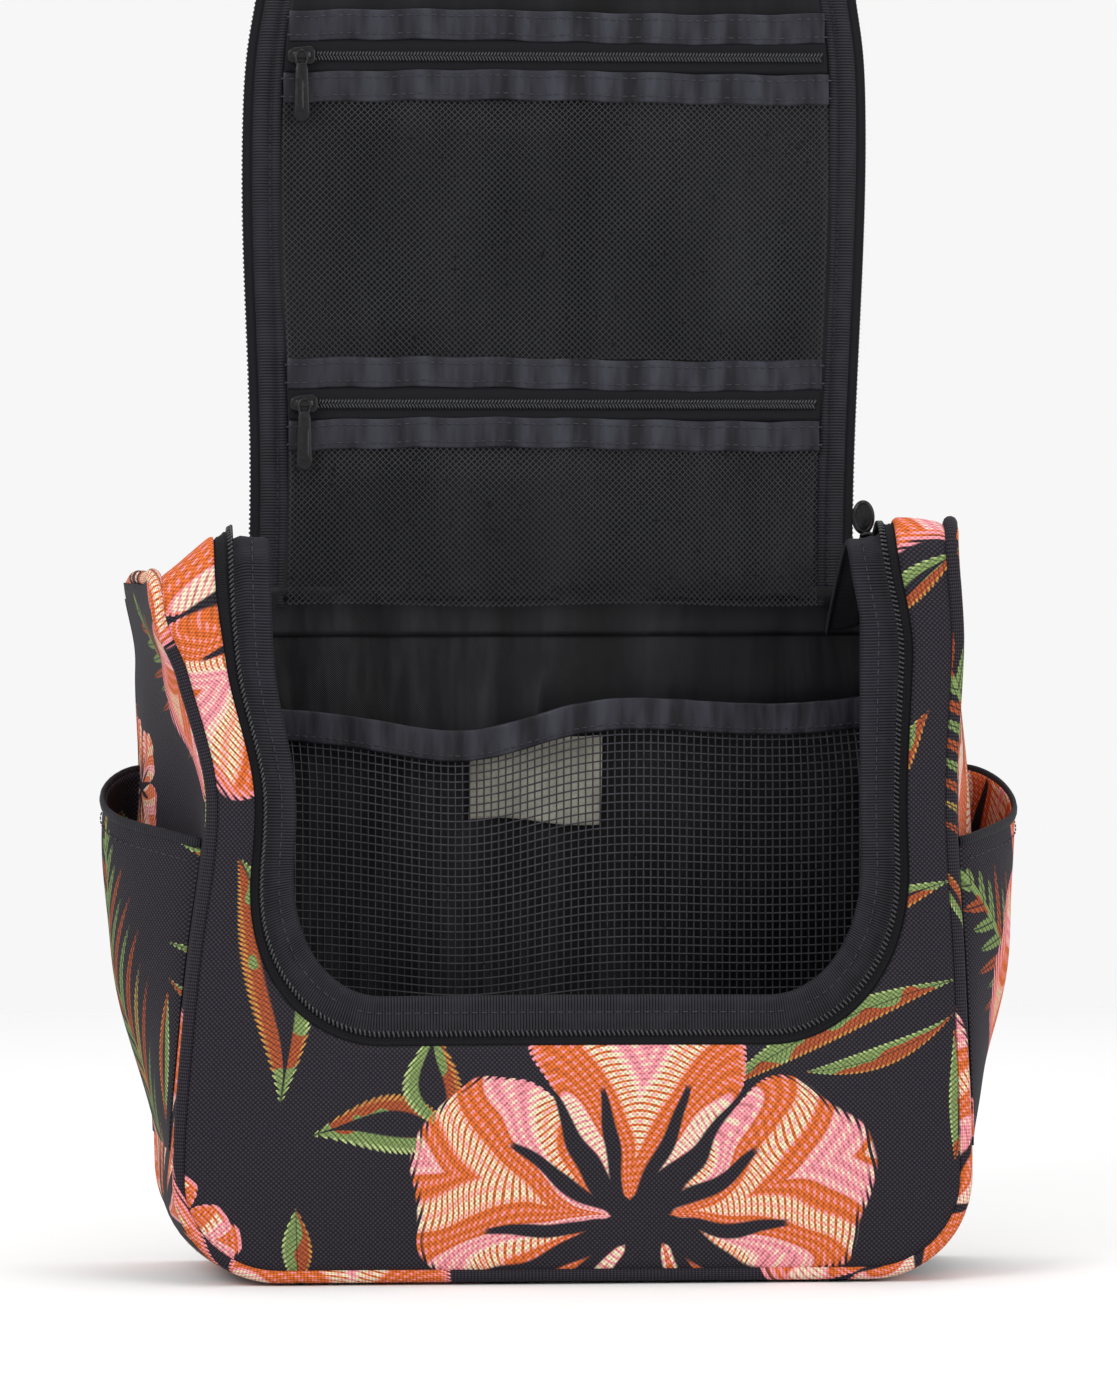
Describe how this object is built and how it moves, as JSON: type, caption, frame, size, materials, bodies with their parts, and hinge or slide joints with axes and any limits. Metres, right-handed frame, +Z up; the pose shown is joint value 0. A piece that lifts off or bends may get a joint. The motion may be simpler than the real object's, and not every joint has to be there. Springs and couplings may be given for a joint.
{
  "type": "hanging toiletry bag",
  "caption": "Soft floral box bag with a U-zip lid that folds up, net pockets inside, side pockets and a folding hook.",
  "frame": {"origin": "middle of the flat base, where the bag stands", "axes": "+Z up along the height, -Y out of the front with the zip opening, +X to the right seen from the front"},
  "size_m": [0.3062, 0.1093, 0.5304],
  "materials": {
    "printed_canvas": "woven canvas with a printed floral",
    "satin_lining": "smooth satin",
    "mesh_net": "knitted net",
    "grosgrain_binding": "ribbed grosgrain",
    "zipper_tape": "twill tape",
    "zipper_teeth": "moulded coil",
    "slider_metal": "black lacquer",
    "hook_plastic": "moulded",
    "webbing": "woven webbing",
    "care_label": "smooth ribbon, blank",
    "foam": "felted foam"
  },
  "bodies": {
    "bag": {"front_panel": "printed_canvas", "shoulder_left": "printed_canvas", "shoulder_right": "printed_canvas", "side_panel_left": "printed_canvas", "side_panel_right": "printed_canvas", "side_pocket_left": "printed_canvas", "side_pocket_right": "printed_canvas", "bottom_panel": "printed_canvas", "back_panel": "printed_canvas", "piping_front": "printed_canvas", "piping_back": "printed_canvas", "lining_front": "satin_lining", "lining_back": "satin_lining", "lining_left": "satin_lining", "lining_right": "satin_lining", "lining_bottom": "satin_lining", "opening_binding": "grosgrain_binding", "zip_tape_body": "zipper_tape", "zip_teeth_body": "zipper_teeth", "mesh_pocket_inner": "mesh_net", "mesh_pocket_hem": "satin_lining", "care_label": "care_label"},
    "lid_top": {"lid_top_shell": "printed_canvas", "lid_top_pad": "foam", "lid_top_lining": "satin_lining", "lid_top_binding_left": "grosgrain_binding", "lid_top_binding_right": "grosgrain_binding", "zip_tape_lid_left": "zipper_tape", "zip_tape_lid_right": "zipper_tape", "zip_teeth_lid_left": "zipper_teeth", "zip_teeth_lid_right": "zipper_teeth", "pocket_mesh_lower": "mesh_net", "pocket_trim_lower_a": "satin_lining", "pocket_trim_lower_b": "satin_lining", "pocket_zip_tape_lower": "zipper_tape", "pocket_coil_lower": "zipper_teeth", "carry_handle": "webbing"},
    "lid_front": {"lid_front_shell": "printed_canvas", "lid_front_pad": "foam", "lid_front_lining": "satin_lining", "lid_front_binding": "grosgrain_binding", "zip_tape_lid_front": "zipper_tape", "zip_teeth_lid_front": "zipper_teeth", "pocket_mesh_upper": "mesh_net", "pocket_trim_upper_a": "satin_lining", "pocket_trim_upper_b": "satin_lining", "pocket_zip_tape_upper": "zipper_tape", "pocket_coil_upper": "zipper_teeth", "hanger_tab": "webbing"},
    "hook_mount": {"hook_base": "hook_plastic"},
    "hook": {"hanging_hook": "hook_plastic"},
    "lower_slider": {"slider_lower": "slider_metal"},
    "lower_pull": {"pull_lower": "slider_metal"},
    "upper_slider": {"slider_upper": "slider_metal"},
    "upper_pull": {"pull_upper": "slider_metal"},
    "zip_slider": {"main_slider": "slider_metal"},
    "zip_pull": {"main_pull": "slider_metal"}
  },
  "joints": [
    {"name": "lid_hinge", "type": "hinge", "parent": "bag", "child": "lid_top", "pos_m": [0, 0.042, 0.20824], "axis": [1, 0, 0], "range_deg": [-90, 68]},
    {"name": "lid_fold", "type": "hinge", "parent": "lid_top", "child": "lid_front", "pos_m": [0, 0.04685, 0.30079], "axis": [1, 0, 0], "range_deg": [0, 115]},
    {"name": "hook_fold", "type": "hinge", "parent": "lid_front", "child": "hook_mount", "pos_m": [0, 0.06103, 0.47586], "axis": [1, 0, 0], "range_deg": [-145, 0]},
    {"name": "hook_swivel", "type": "hinge", "parent": "hook_mount", "child": "hook", "pos_m": [0, 0.06135, 0.48185], "axis": [0, 0.0523, 0.9986], "continuous": true},
    {"name": "lower_zip_slide", "type": "slide", "parent": "lid_top", "child": "lower_slider", "axis": [1, 0, 0], "range_m": [0, 0.167]},
    {"name": "lower_pull_swing", "type": "hinge", "parent": "lower_slider", "child": "lower_pull", "pos_m": [-0.0835, 0.03521, 0.27737], "axis": [0, 0.9986, -0.0523], "range_deg": [-80, 80]},
    {"name": "upper_zip_slide", "type": "slide", "parent": "lid_front", "child": "upper_slider", "axis": [1, 0, 0], "range_m": [0, 0.167]},
    {"name": "upper_pull_swing", "type": "hinge", "parent": "upper_slider", "child": "upper_pull", "pos_m": [-0.0835, 0.04112, 0.39022], "axis": [0, 0.9986, -0.0523], "range_deg": [-80, 80]},
    {"name": "main_zip_slide", "type": "slide", "parent": "bag", "child": "zip_slider", "axis": [0, -0.9063, 0.4226], "range_m": [-0.045, 0.008]},
    {"name": "main_pull_flip", "type": "hinge", "parent": "zip_slider", "child": "zip_pull", "pos_m": [0.102, -0.01067, 0.23555], "axis": [1, 0, 0], "range_deg": [-80, 50]}
  ]
}
